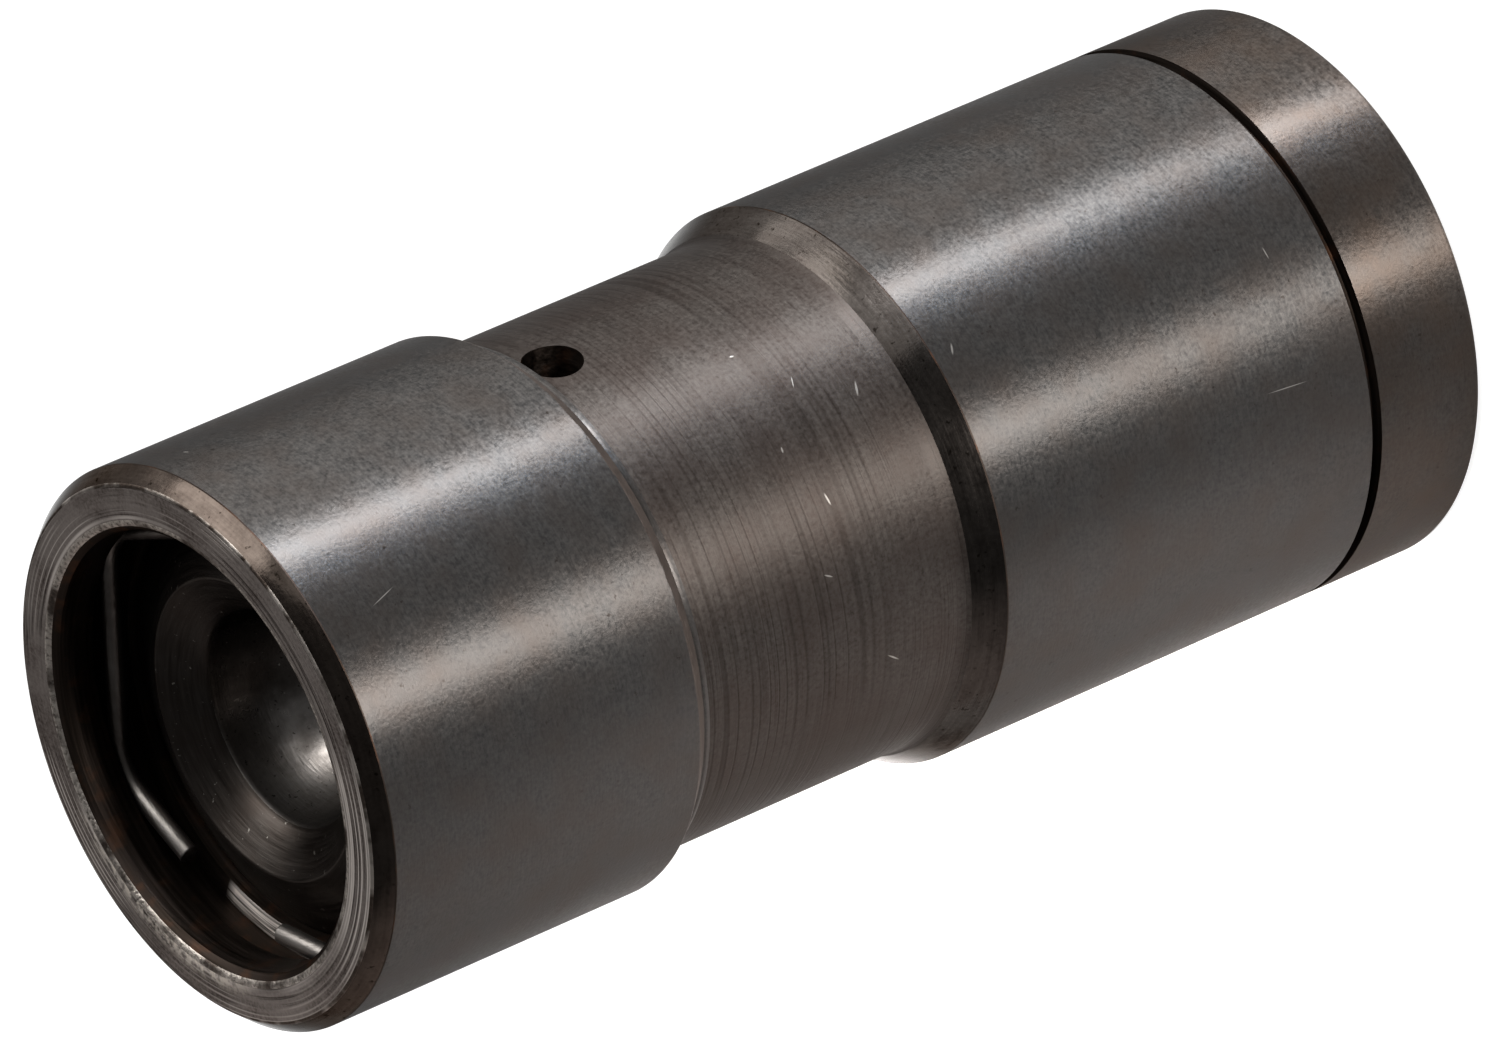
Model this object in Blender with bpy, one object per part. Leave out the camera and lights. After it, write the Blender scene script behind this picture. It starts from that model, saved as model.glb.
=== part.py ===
"""Mechanical valve lifter, also called a solid flat tappet.

The body stands on its foot, the flat end that rides on the cam lobe. The axis is +Z,
the origin is the centre of the foot's face, and the oil hole faces -Y. Depths are
measured down the axis from the face of the mouth.
"""

import math

import bmesh
import bpy
from mathutils import Vector

for leftover in list(bpy.data.objects):
    bpy.data.objects.remove(leftover, do_unlink=True)

MM = 0.001

# Gaps between neighbouring pieces
REST_GAP = 0.3 * MM
RUN_GAP = 0.1 * MM

# Body, outside
BODY_LENGTH = 50.8 * MM
BODY_DIAMETER = 21.387 * MM
FRONT_LAND_LENGTH = 14.29 * MM
FRONT_SHOULDER_LENGTH = 0.99 * MM
WAIST_LENGTH = 11.72 * MM
WAIST_DEPTH = 0.853 * MM
REAR_SHOULDER_LENGTH = 1.39 * MM
SHOULDER_FILLET = 0.5 * MM
RIM_CHAMFER_WIDTH = 0.563 * MM
RIM_CHAMFER_LENGTH = 0.67 * MM
FOOT_CHAMFER = 0.25 * MM
MARK_GROOVE_HEIGHT = 4.82 * MM
MARK_GROOVE_WIDTH = 0.45 * MM
MARK_GROOVE_DEPTH = 0.5 * MM

# Body, inside
MOUTH_WALL = 2.363 * MM
BORE_CHAMFER_WIDTH = 0.33 * MM
BORE_CHAMFER_LENGTH = 0.32 * MM
CLIP_GROOVE_DEPTH = 1.775 * MM
CLIP_GROOVE_WIDTH = 1.59 * MM
CLIP_GROOVE_CUT = 0.92 * MM
SEAT_LEDGE_WIDTH = 1.68 * MM
DISC_LEDGE_WIDTH = 0.85 * MM
FOOT_THICKNESS = 9.5 * MM
DRILL_POINT_ANGLE = math.radians(118)
OIL_HOLE_DIAMETER = 2.26 * MM

# Clip
WIRE_DIAMETER = 0.75 * MM
CLIP_FLATS = 6
CLIP_BEND_RADIUS = 2.1 * MM
CLIP_END_NORMAL = math.radians(15)
CLIP_END_ANGLE = math.radians(20.5)
CLIP_GAP_AZIMUTH = math.radians(82)

# Pushrod seat
SEAT_HEIGHT = 9.13 * MM
SEAT_LIFT = 0.77 * MM
SOCKET_RADIUS = 4.1 * MM
SOCKET_LIP_WIDTH = 0.34 * MM
LEAD_IN_WIDTH = 1.27 * MM
LEAD_IN_DEPTH = 0.85 * MM
SEAT_SLOPE = math.radians(27)
SEAT_OIL_HOLE_DIAMETER = 1.6 * MM
SEAT_FOOT_CHAMFER = 0.4 * MM

# Metering disc
DISC_THICKNESS = 0.5 * MM
DISC_LIFT = 0.4 * MM
DISC_HOLE_DIAMETER = 1.2 * MM

# Fineness of the round shapes
TURNED_STEPS = 72
MERGE_DISTANCE = 0.001 * MM
ARC_STEP = math.radians(12)
BEND_STEP = math.radians(9)
WIRE_RESOLUTION = 4
HOLE_STEPS = 32
SMOOTH_ANGLE = math.radians(28)

# Sizes that follow from the ones above
body_radius = BODY_DIAMETER / 2
waist_radius = body_radius - WAIST_DEPTH
bore_radius = body_radius - MOUTH_WALL
pocket_radius = bore_radius - SEAT_LEDGE_WIDTH
chamber_radius = pocket_radius - DISC_LEDGE_WIDTH
groove_radius = bore_radius + CLIP_GROOVE_CUT
wire_radius = WIRE_DIAMETER / 2
clip_depth = CLIP_GROOVE_DEPTH + RUN_GAP + wire_radius
lip_radius = SOCKET_RADIUS + SOCKET_LIP_WIDTH
ring_radius = lip_radius + LEAD_IN_WIDTH

# The clip's bends reach the bottom of the groove, less a running gap, and set how far in its flats lie.
clip_half_turn = (math.pi - CLIP_END_NORMAL) / (CLIP_FLATS - 1)
clip_reach = groove_radius - RUN_GAP - wire_radius
bend_centre_radius = clip_reach - CLIP_BEND_RADIUS
clip_flat_radius = bend_centre_radius * math.cos(clip_half_turn) + CLIP_BEND_RADIUS

# The seat's slope meets the clip's flats, less a running gap, once the seat has lifted fully.
slope_below_clip = (wire_radius + RUN_GAP) / math.cos(SEAT_SLOPE) + SEAT_LIFT
slope_above_ring = (clip_flat_radius - ring_radius) * math.tan(SEAT_SLOPE)
ring_depth = clip_depth + slope_below_clip - slope_above_ring
seat_foot_depth = ring_depth + SEAT_HEIGHT
ledge_depth = seat_foot_depth + REST_GAP
pocket_depth = ledge_depth + DISC_THICKNESS + DISC_LIFT + RUN_GAP
disc_foot_depth = pocket_depth - REST_GAP
oil_hole_depth = FRONT_LAND_LENGTH + FRONT_SHOULDER_LENGTH + OIL_HOLE_DIAMETER / 2


def height(depth):
    """Height above the foot's face of a depth below the mouth's face."""
    return BODY_LENGTH - depth


def rounded(before, corner, after, radius):
    """Points of the arc that rounds a corner of a profile."""
    before, corner, after = Vector(before), Vector(corner), Vector(after)
    back = (before - corner).normalized()
    ahead = (after - corner).normalized()
    half = back.angle(ahead) / 2
    reach = radius / math.tan(half)
    centre = corner + (back + ahead).normalized() * radius / math.sin(half)
    start = corner + back * reach - centre
    turn = math.pi - 2 * half
    side = math.copysign(1, start.cross(corner + ahead * reach - centre))
    steps = max(2, math.ceil(turn / ARC_STEP))
    points = []
    for step in range(steps + 1):
        angle = side * turn * step / steps
        spoke = Vector((start.x * math.cos(angle) - start.y * math.sin(angle),
                        start.x * math.sin(angle) + start.y * math.cos(angle)))
        points.append(tuple(centre + spoke))
    return points


def steel(name, colour, roughness):
    """Metal with one colour and roughness."""
    material = bpy.data.materials.new(name)
    material.use_nodes = True
    shader = material.node_tree.nodes["Principled BSDF"]
    shader.inputs["Base Color"].default_value = (*colour, 1)
    shader.inputs["Metallic"].default_value = 1
    shader.inputs["Roughness"].default_value = roughness
    return material


def add_object(name, data, material, foot_height=0.0):
    """Object on the axis at a height, with its material."""
    piece = bpy.data.objects.new(name, data)
    data.materials.append(material)
    piece.location.z = foot_height
    bpy.context.collection.objects.link(piece)
    return piece


def turned_mesh(name, profile, closed):
    """Solid of revolution about Z from (radius, height) points, closed or ending on the axis."""
    shape = bmesh.new()
    corners = [shape.verts.new((radius, 0, level)) for radius, level in profile]
    ends = corners[1:] + corners[:1] if closed else corners[1:]
    edges = [shape.edges.new(pair) for pair in zip(corners, ends)]
    bmesh.ops.spin(shape, geom=corners + edges, cent=(0, 0, 0), axis=(0, 0, 1), angle=math.tau,
                   steps=TURNED_STEPS, use_merge=True, use_duplicate=False)
    bmesh.ops.remove_doubles(shape, verts=shape.verts, dist=MERGE_DISTANCE)
    bmesh.ops.recalc_face_normals(shape, faces=shape.faces)
    mesh = bpy.data.meshes.new(name)
    shape.to_mesh(mesh)
    shape.free()
    mesh.shade_smooth()
    mesh.set_sharp_from_angle(angle=SMOOTH_ANGLE)
    return mesh


# Lifter body: one turned piece from the foot up the outside and down the stepped bore
def body_outside():
    """Profile from the foot's edge up to the face of the mouth."""
    mark_top = MARK_GROOVE_HEIGHT + MARK_GROOVE_WIDTH
    mark_radius = body_radius - MARK_GROOVE_DEPTH
    waist_top = height(FRONT_LAND_LENGTH + FRONT_SHOULDER_LENGTH)
    waist_foot = waist_top - WAIST_LENGTH
    rear_edge = (body_radius, waist_foot - REAR_SHOULDER_LENGTH)
    front_edge = (body_radius, height(FRONT_LAND_LENGTH))
    return [
        (body_radius - FOOT_CHAMFER, 0),
        (body_radius, FOOT_CHAMFER),
        (body_radius, MARK_GROOVE_HEIGHT),
        (mark_radius, MARK_GROOVE_HEIGHT),
        (mark_radius, mark_top),
        (body_radius, mark_top),
        rear_edge,
        *rounded(rear_edge, (waist_radius, waist_foot), (waist_radius, waist_top), SHOULDER_FILLET),
        (waist_radius, waist_top),
        front_edge,
        (body_radius, height(RIM_CHAMFER_LENGTH)),
        (body_radius - RIM_CHAMFER_WIDTH, height(0)),
    ]


def body_inside():
    """Profile from the face of the mouth down to the drilled end of the oil chamber."""
    groove_foot = height(CLIP_GROOVE_DEPTH + CLIP_GROOVE_WIDTH)
    point_length = chamber_radius / math.tan(DRILL_POINT_ANGLE / 2)
    return [
        (bore_radius + BORE_CHAMFER_WIDTH, height(0)),
        (bore_radius, height(BORE_CHAMFER_LENGTH)),
        (bore_radius, height(CLIP_GROOVE_DEPTH)),
        (groove_radius, height(CLIP_GROOVE_DEPTH)),
        (groove_radius, groove_foot),
        (bore_radius, groove_foot),
        (bore_radius, height(ledge_depth)),
        (pocket_radius, height(ledge_depth)),
        (pocket_radius, height(pocket_depth)),
        (chamber_radius, height(pocket_depth)),
        (chamber_radius, FOOT_THICKNESS + point_length),
        (0, FOOT_THICKNESS),
    ]


def add_body():
    """Turned body with the oil hole drilled through the wall of its waist."""
    profile = [(0, 0), *body_outside(), *body_inside()]
    finish = steel("body_steel", (0.21, 0.20, 0.195), 0.38)
    body = add_object("lifter_body", turned_mesh("lifter_body", profile, closed=False), finish)

    drill_shape = bmesh.new()
    bmesh.ops.create_cone(drill_shape, cap_ends=True, segments=HOLE_STEPS, depth=BODY_DIAMETER,
                          radius1=OIL_HOLE_DIAMETER / 2, radius2=OIL_HOLE_DIAMETER / 2)
    drill_mesh = bpy.data.meshes.new("oil_hole_drill")
    drill_shape.to_mesh(drill_mesh)
    drill_shape.free()
    drill = bpy.data.objects.new("oil_hole_drill", drill_mesh)
    drill.location = (0, -body_radius, height(oil_hole_depth))
    drill.rotation_euler.x = math.radians(90)
    drill.hide_render = True
    drill.display_type = "WIRE"
    bpy.context.collection.objects.link(drill)

    oil_hole = body.modifiers.new("oil_hole", "BOOLEAN")
    oil_hole.operation = "DIFFERENCE"
    oil_hole.solver = "EXACT"
    oil_hole.object = drill


# Metering disc: a flat stamped disc with one hole, loose in the pocket under the seat
def add_metering_disc():
    rim = pocket_radius - RUN_GAP
    hole = DISC_HOLE_DIAMETER / 2
    profile = [(hole, 0), (rim, 0), (rim, DISC_THICKNESS), (hole, DISC_THICKNESS)]
    finish = steel("disc_steel", (0.42, 0.42, 0.43), 0.3)
    add_object("metering_disc", turned_mesh("metering_disc", profile, closed=True), finish,
               height(disc_foot_depth))


# Pushrod seat: a turned cup with a ball socket, an oil hole and a sloping shoulder
def add_pushrod_seat():
    seat_radius = bore_radius - RUN_GAP
    hole = SEAT_OIL_HOLE_DIAMETER / 2
    lip_height = SEAT_HEIGHT - LEAD_IN_DEPTH
    shoulder_drop = (seat_radius - ring_radius) * math.tan(SEAT_SLOPE)
    socket_centre = lip_height - SOCKET_LIP_WIDTH
    socket_start = math.asin(hole / SOCKET_RADIUS)
    socket_steps = math.ceil((math.pi / 2 - socket_start) / ARC_STEP)
    profile = [
        (hole, 0),
        (seat_radius - SEAT_FOOT_CHAMFER, 0),
        (seat_radius, SEAT_FOOT_CHAMFER),
        (seat_radius, SEAT_HEIGHT - shoulder_drop),
        (ring_radius, SEAT_HEIGHT),
        (lip_radius, lip_height),
    ]
    for step in range(socket_steps + 1):
        angle = math.pi / 2 + (socket_start - math.pi / 2) * step / socket_steps
        profile.append((SOCKET_RADIUS * math.sin(angle), socket_centre - SOCKET_RADIUS * math.cos(angle)))
    finish = steel("seat_steel", (0.17, 0.165, 0.165), 0.35)
    add_object("pushrod_seat", turned_mesh("pushrod_seat", profile, closed=True), finish,
               height(seat_foot_depth))


# Retaining clip: a round spring wire with six flats and five bends, sprung into its groove
def polar(radius, angle):
    """Point in the clip's plane, with the angle measured from the middle of its gap."""
    return Vector((radius * math.cos(angle), radius * math.sin(angle)))


def clip_path():
    """Middle of the wire, from one end round to the other, as points in the clip's plane."""
    end_radius = clip_flat_radius / math.cos(CLIP_END_ANGLE - CLIP_END_NORMAL)
    steps = math.ceil(2 * clip_half_turn / BEND_STEP)
    points = [polar(end_radius, CLIP_END_ANGLE)]
    for bend in range(CLIP_FLATS - 1):
        middle = CLIP_END_NORMAL + clip_half_turn * (2 * bend + 1)
        bend_centre = polar(bend_centre_radius, middle)
        for step in range(steps + 1):
            spoke = middle + clip_half_turn * (2 * step / steps - 1)
            points.append(bend_centre + polar(CLIP_BEND_RADIUS, spoke))
    points.append(polar(end_radius, -CLIP_END_ANGLE))
    return points


def add_retaining_clip():
    wire = bpy.data.curves.new("retaining_clip", "CURVE")
    wire.dimensions = "3D"
    wire.bevel_depth = wire_radius
    wire.bevel_resolution = WIRE_RESOLUTION
    wire.use_fill_caps = True
    points = clip_path()
    spline = wire.splines.new("POLY")
    spline.points.add(len(points) - 1)
    for knot, point in zip(spline.points, points):
        knot.co = (point.x, point.y, 0, 1)
    finish = steel("clip_steel", (0.30, 0.30, 0.31), 0.3)
    clip = add_object("retaining_clip", wire, finish, height(clip_depth))
    clip.rotation_euler.z = CLIP_GAP_AZIMUTH


add_body()
add_metering_disc()
add_pushrod_seat()
add_retaining_clip()
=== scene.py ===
"""Mechanical valve lifter, standing on its foot and seen down into its mouth."""

import math

import bmesh
import bpy
from mathutils import Matrix, Vector


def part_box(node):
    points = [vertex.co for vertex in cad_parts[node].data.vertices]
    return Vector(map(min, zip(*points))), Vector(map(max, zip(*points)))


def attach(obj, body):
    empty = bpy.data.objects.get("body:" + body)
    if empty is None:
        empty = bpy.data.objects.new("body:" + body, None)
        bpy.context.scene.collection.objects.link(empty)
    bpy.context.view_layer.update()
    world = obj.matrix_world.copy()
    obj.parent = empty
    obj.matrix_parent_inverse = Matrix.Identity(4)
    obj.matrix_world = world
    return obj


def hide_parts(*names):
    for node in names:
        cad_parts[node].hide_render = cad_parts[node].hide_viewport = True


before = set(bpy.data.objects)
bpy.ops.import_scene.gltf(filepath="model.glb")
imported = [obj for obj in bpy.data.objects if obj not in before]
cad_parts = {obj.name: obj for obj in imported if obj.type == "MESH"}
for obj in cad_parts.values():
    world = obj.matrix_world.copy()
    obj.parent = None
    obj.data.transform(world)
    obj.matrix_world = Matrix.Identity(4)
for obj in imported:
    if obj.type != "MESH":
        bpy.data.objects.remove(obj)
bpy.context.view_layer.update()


# Lifter body: one piece of steel, turned outside and in, with an oil hole drilled through its waist.
# It was blackened all over, and then its lands, its foot and the face of its mouth were ground,
# so that the shoulders, the mouth's chamfer and the bore keep a brown-black skin.
MM = 0.001
LAND_RADIUS = 10.6935 * MM
WAIST_RADIUS = 9.8405 * MM
MOUTH = 50.8 * MM
FRONT_LAND_FOOT = MOUTH - 14.29 * MM
WAIST_TOP = MOUTH - 15.28 * MM
WAIST_FOOT = MOUTH - 27.0 * MM
REAR_LAND_TOP = MOUTH - 28.39 * MM
MARK_TOP = 5.27 * MM
MARK_FOOT = 4.82 * MM
MARK_RADIUS = LAND_RADIUS - 0.5 * MM
FOOT_CHAMFER = 0.25 * MM
RIM_EDGE_RADIUS = LAND_RADIUS - 0.563 * MM
RIM_CHAMFER_FOOT = MOUTH - 0.67 * MM
BORE_RADIUS = 8.3305 * MM
BORE_EDGE_RADIUS = BORE_RADIUS + 0.33 * MM
BORE_EDGE_FOOT = MOUTH - 0.32 * MM
GROOVE_TOP = MOUTH - 1.775 * MM
GROOVE_FOOT = MOUTH - 3.365 * MM
GROOVE_RADIUS = BORE_RADIUS + 0.92 * MM
REST_GAP = 0.3 * MM
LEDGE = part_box("pushrod_seat")[0].z - REST_GAP
POCKET_RADIUS = BORE_RADIUS - 1.68 * MM
POCKET_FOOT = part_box("metering_disc")[0].z - REST_GAP
CHAMBER_RADIUS = POCKET_RADIUS - 0.85 * MM
CHAMBER_END = 9.5 * MM
DRILL_POINT = math.radians(118)
OIL_HOLE_HEIGHT = WAIST_TOP - 1.13 * MM
OIL_HOLE_RADIUS = 1.13 * MM
BODY_STEPS = 256
DRILL_STEPS = 96
BEAD_HEIGHT = 0.33 * MM
BEAD_RADIUS = WAIST_RADIUS + BEAD_HEIGHT
BEAD_TOP_RADIUS = WAIST_RADIUS + 0.91 * BEAD_HEIGHT
BEAD_FOOT_RADIUS = WAIST_RADIUS + 0.75 * BEAD_HEIGHT
BEAD_TOP = WAIST_TOP + 0.37 * MM
BEAD_PEAK = WAIST_TOP + 0.27 * MM
BEAD_FOOT = WAIST_TOP + 0.08 * MM
CORNER_FOOT = WAIST_TOP - 0.06 * MM
SHOULDER_FILLET = 0.32 * MM
FINE_EDGE = 0.03 * MM
GROOVE_EDGE = 0.04 * MM
BEAD_EDGE = 0.05 * MM
BROKEN_EDGE = 0.06 * MM
RIM_EDGE = 0.08 * MM
BORE_EDGE = 0.15 * MM
WELD = 0.001 * MM
RING_TOLERANCE = 0.002 * MM
SMOOTH_ANGLE = math.radians(35)
# Sector of the clip groove that gets a painted highlight, where the lamp's light falls.
GROOVE_HIGHLIGHT_AZIMUTH = 87
GROOVE_HIGHLIGHT_HALF_WIDTH = 14
GROOVE_HIGHLIGHT_FADE = 3
BEATEN_AZIMUTH = 72
BEATEN_HALF_WIDTH = 20
BEATEN_FADE = 18
BEATEN_INSIDE = BORE_EDGE_RADIUS + 0.15 * MM
BEATEN_OUTSIDE = BORE_EDGE_RADIUS + 0.75 * MM
GROUND, FOOT, SKIN, CHAMFER, WAIST, FILM, RIM, NICKED, BURR, BORE, GROOVE = range(11)


def turn(shape, line, finish, steps):
    """Turns a line of (radius, height) points about the axis and gives the new faces a finish."""
    knots = [shape.verts.new((radius, 0, height)) for radius, height in line]
    edges = [shape.edges.new(pair) for pair in zip(knots, knots[1:])]
    earlier = set(shape.faces)
    bmesh.ops.spin(shape, geom=knots + edges, axis=(0, 0, 1), cent=(0, 0, 0), angle=math.tau,
                   steps=steps, use_merge=True, use_duplicate=False)
    for face in shape.faces:
        if face not in earlier:
            face.material_index = finish


def close_turned(shape):
    """Joins the turned bands into one closed skin whose faces point outwards."""
    bmesh.ops.remove_doubles(shape, verts=shape.verts, dist=WELD)
    bmesh.ops.recalc_face_normals(shape, faces=shape.faces)


def soften_ring(shape, radius, height, width, segments, finish=None):
    """Rounds the ring edge at a radius and height, and may give the rounding a finish of its own."""
    ring = []
    for edge in shape.edges:
        off = [abs(end.co.xy.length - radius) + abs(end.co.z - height) for end in edge.verts]
        if max(off) < RING_TOLERANCE:
            ring.append(edge)
    rounding = bmesh.ops.bevel(shape, geom=ring, offset=width, offset_type="OFFSET", segments=segments,
                               profile=0.5, affect="EDGES", material=-1, clamp_overlap=True)
    if finish is not None:
        for face in rounding["faces"]:
            face.material_index = finish


def add_piece(name, shape, finishes, body, cad_node):
    """Makes an object of a shape, gives it its finishes, and has it stand for its CAD node."""
    mesh = bpy.data.meshes.new(name)
    shape.to_mesh(mesh)
    shape.free()
    for finish in finishes:
        mesh.materials.append(finish)
    mesh.shade_smooth()
    mesh.set_sharp_from_angle(angle=SMOOTH_ANGLE)
    piece = bpy.data.objects.new(name, mesh)
    bpy.context.collection.objects.link(piece)
    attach(piece, body)
    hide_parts(cad_node)
    return piece


def node(tree, kind, inputs=None, **settings):
    """Adds a shader node, sets its options, and sets or links its inputs."""
    made = tree.nodes.new(kind)
    for label, value in settings.items():
        setattr(made, label, value)
    for label, value in (inputs or {}).items():
        if isinstance(value, bpy.types.NodeSocket):
            tree.links.new(value, made.inputs[label])
        else:
            made.inputs[label].default_value = value
    return made


def maths(tree, operation, first, second=0.0):
    """Result of a Math node."""
    return node(tree, "ShaderNodeMath", {0: first, 1: second}, operation=operation).outputs[0]


def spread(tree, value, low, high, to_low=0.0, to_high=1.0):
    """A value between low and high, spread over another range and clamped to it."""
    return node(tree, "ShaderNodeMapRange", {
        "Value": value, "From Min": low, "From Max": high, "To Min": to_low, "To Max": to_high,
    }).outputs[0]


def tint(tree, mask, first, second):
    """Colour that goes from the first to the second where the mask is 1."""
    return node(tree, "ShaderNodeMix", {0: mask, 6: first, 7: second}, data_type="RGBA").outputs[2]


def start_group(name, inputs, outputs):
    """New node group with plain number sockets."""
    group = bpy.data.node_groups.new(name, "ShaderNodeTree")
    for label, value in inputs.items():
        entry = group.interface.new_socket(label, in_out="INPUT", socket_type="NodeSocketFloat")
        entry.default_value = value
    for label in outputs:
        group.interface.new_socket(label, in_out="OUTPUT", socket_type="NodeSocketFloat")
    return group, group.nodes.new("NodeGroupInput").outputs, group.nodes.new("NodeGroupOutput")


def from_axis(tree):
    """How far the shaded point is from the axis, and in which direction it lies from there."""
    place = node(tree, "ShaderNodeTexCoord").outputs["Object"]
    flat = node(tree, "ShaderNodeVectorMath", {0: place, 1: (1, 1, 0)}, operation="MULTIPLY").outputs[0]
    radius = node(tree, "ShaderNodeVectorMath", {0: flat}, operation="LENGTH").outputs["Value"]
    spoke = node(tree, "ShaderNodeVectorMath", {0: flat}, operation="NORMALIZE").outputs[0]
    return radius, spoke


def make_tool_marks():
    """Fine lines that run round the axis on walls and faces alike, as a lathe or a grinder leaves them.
    Spacing is in millimetres, Run is how soon a line fades round the axis, and Tilt slants it. Scores
    are thin single cuts that hold their course, with gaps where the bands are low."""
    group, given, result = start_group(
        "tool_marks", {"Spacing": 0.1, "Run": 2.0, "Tilt": 0.0}, ["Lines", "Bands", "Scores"])
    place = node(group, "ShaderNodeTexCoord").outputs["Object"]
    parts = node(group, "ShaderNodeSeparateXYZ", {0: place}).outputs
    radius, spoke = from_axis(group)
    aslant = maths(group, "SUBTRACT", parts["X"], parts["Y"])
    slanted = maths(group, "MULTIPLY", aslant, given["Tilt"])
    level = maths(group, "ADD", parts["Z"], slanted)
    per_line = maths(group, "DIVIDE", 1 / MM, given["Spacing"])
    kinds = (("Lines", 1.0, 2.0, 1.0), ("Bands", 0.12, 1.0, 1.0), ("Scores", 1.0, 0.0, 0.1))
    noises = {}
    for label, fineness, detail, wander in kinds:
        run = maths(group, "MULTIPLY", given["Run"], wander)
        around = node(group, "ShaderNodeVectorMath", {0: spoke, "Scale": run}, operation="SCALE")
        sides = node(group, "ShaderNodeSeparateXYZ", {0: around.outputs[0]}).outputs
        scale = maths(group, "MULTIPLY", per_line, fineness)
        across = maths(group, "MULTIPLY", level, scale)
        outward = maths(group, "MULTIPLY", radius, scale)
        spot = node(group, "ShaderNodeCombineXYZ", {"X": sides["X"], "Y": sides["Y"], "Z": across})
        noises[label] = node(group, "ShaderNodeTexNoise", {
            "Vector": spot.outputs[0], "W": outward, "Scale": 1.0, "Detail": detail, "Roughness": 0.6},
            noise_dimensions="4D").outputs["Fac"]
    group.links.new(spread(group, noises["Lines"], 0.28, 0.72), result.inputs["Lines"])
    group.links.new(spread(group, noises["Bands"], 0.28, 0.72), result.inputs["Bands"])
    off_course = maths(group, "ABSOLUTE", maths(group, "SUBTRACT", noises["Scores"], 0.5))
    thin = spread(group, off_course, 0.015, 0.08, 1.0, 0.0)
    kept = spread(group, noises["Bands"], 0.42, 0.58)
    group.links.new(maths(group, "MULTIPLY", thin, kept), result.inputs["Scores"])
    return group


def make_blotches():
    """Uneven patches, such as stains, worn places or specks: Size in millimetres, Cover from 0 to 1."""
    group, given, result = start_group(
        "blotches", {"Size": 1.0, "Cover": 0.3, "Edge": 0.05, "Offset": 0.0}, ["Mask"])
    place = node(group, "ShaderNodeTexCoord").outputs["Object"]
    shift = node(group, "ShaderNodeCombineXYZ", {
        "X": given["Offset"], "Y": given["Offset"], "Z": given["Offset"]}).outputs[0]
    moved = node(group, "ShaderNodeVectorMath", {0: place, 1: shift}, operation="ADD").outputs[0]
    scale = maths(group, "DIVIDE", 1 / MM, given["Size"])
    noise = node(group, "ShaderNodeTexNoise", {
        "Vector": moved, "Scale": scale, "Detail": 3.0, "Roughness": 0.6})
    level = spread(group, given["Cover"], 0.0, 1.0, 0.75, 0.25)
    mask = spread(group, noise.outputs["Fac"], maths(group, "SUBTRACT", level, given["Edge"]),
                  maths(group, "ADD", level, given["Edge"]))
    group.links.new(mask, result.inputs["Mask"])
    return group


def make_scratch():
    """One short mark on a wall round the axis. Azimuth and Slant are in radians, and the other
    values in millimetres."""
    group, given, result = start_group(
        "scratch", {"Azimuth": 0.0, "Height": 0.0, "Length": 0.5, "Width": 0.06, "Slant": 0.0}, ["Mask"])
    place = node(group, "ShaderNodeTexCoord").outputs["Object"]
    back = maths(group, "MULTIPLY", given["Azimuth"], -1.0)
    turned = node(group, "ShaderNodeVectorRotate", {"Vector": place, "Angle": back},
                  rotation_type="Z_AXIS")
    parts = node(group, "ShaderNodeSeparateXYZ", {0: turned.outputs[0]}).outputs
    across = maths(group, "MULTIPLY", parts["Y"], 1 / MM)
    upward = maths(group, "SUBTRACT", maths(group, "MULTIPLY", parts["Z"], 1 / MM), given["Height"])
    flat = node(group, "ShaderNodeCombineXYZ", {"X": across, "Y": upward}).outputs[0]
    level = maths(group, "MULTIPLY", given["Slant"], -1.0)
    straight = node(group, "ShaderNodeVectorRotate", {"Vector": flat, "Angle": level},
                    rotation_type="Z_AXIS")
    sides = node(group, "ShaderNodeSeparateXYZ", {0: straight.outputs[0]}).outputs
    along = maths(group, "DIVIDE", maths(group, "MULTIPLY", sides["X"], 2.0), given["Length"])
    beside = maths(group, "DIVIDE", maths(group, "MULTIPLY", sides["Y"], 2.0), given["Width"])
    shares = node(group, "ShaderNodeCombineXYZ", {"X": along, "Y": beside}).outputs[0]
    off = node(group, "ShaderNodeVectorMath", {0: shares}, operation="LENGTH").outputs["Value"]
    near_side = maths(group, "GREATER_THAN", parts["X"], 0.0)
    mask = maths(group, "MULTIPLY", near_side, spread(group, off, 0.6, 1.1, 1.0, 0.0))
    group.links.new(mask, result.inputs["Mask"])
    return group


tool_marks = make_tool_marks()
blotches = make_blotches()
scratch = make_scratch()


def marks(tree, spacing, run, tilt=0.0):
    """Tool marks in a material: their soft Lines, their broader Bands and their thin sharp Scores."""
    return node(tree, "ShaderNodeGroup", {"Spacing": spacing, "Run": run, "Tilt": tilt},
                node_tree=tool_marks).outputs


def patches(tree, size, cover, edge=0.05, offset=0.0):
    """Blotches in a material, as a mask."""
    return node(tree, "ShaderNodeGroup", {"Size": size, "Cover": cover, "Edge": edge, "Offset": offset},
                node_tree=blotches).outputs["Mask"]


def scratches(tree, radius, ends):
    """Scratches in a material, as one mask. Each goes from one azimuth and height to another, in
    degrees and millimetres, on a wall of the given radius."""
    mask = 0.0
    for azimuth, height, end_azimuth, end_height, width in ends:
        across = math.radians(end_azimuth - azimuth) * radius / MM
        upward = end_height - height
        made = node(tree, "ShaderNodeGroup", {
            "Azimuth": math.radians(azimuth + end_azimuth) / 2, "Height": (height + end_height) / 2,
            "Length": math.hypot(across, upward), "Width": width, "Slant": math.atan2(upward, across),
        }, node_tree=scratch)
        mask = maths(tree, "MAXIMUM", made.outputs["Mask"], mask)
    return mask


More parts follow.
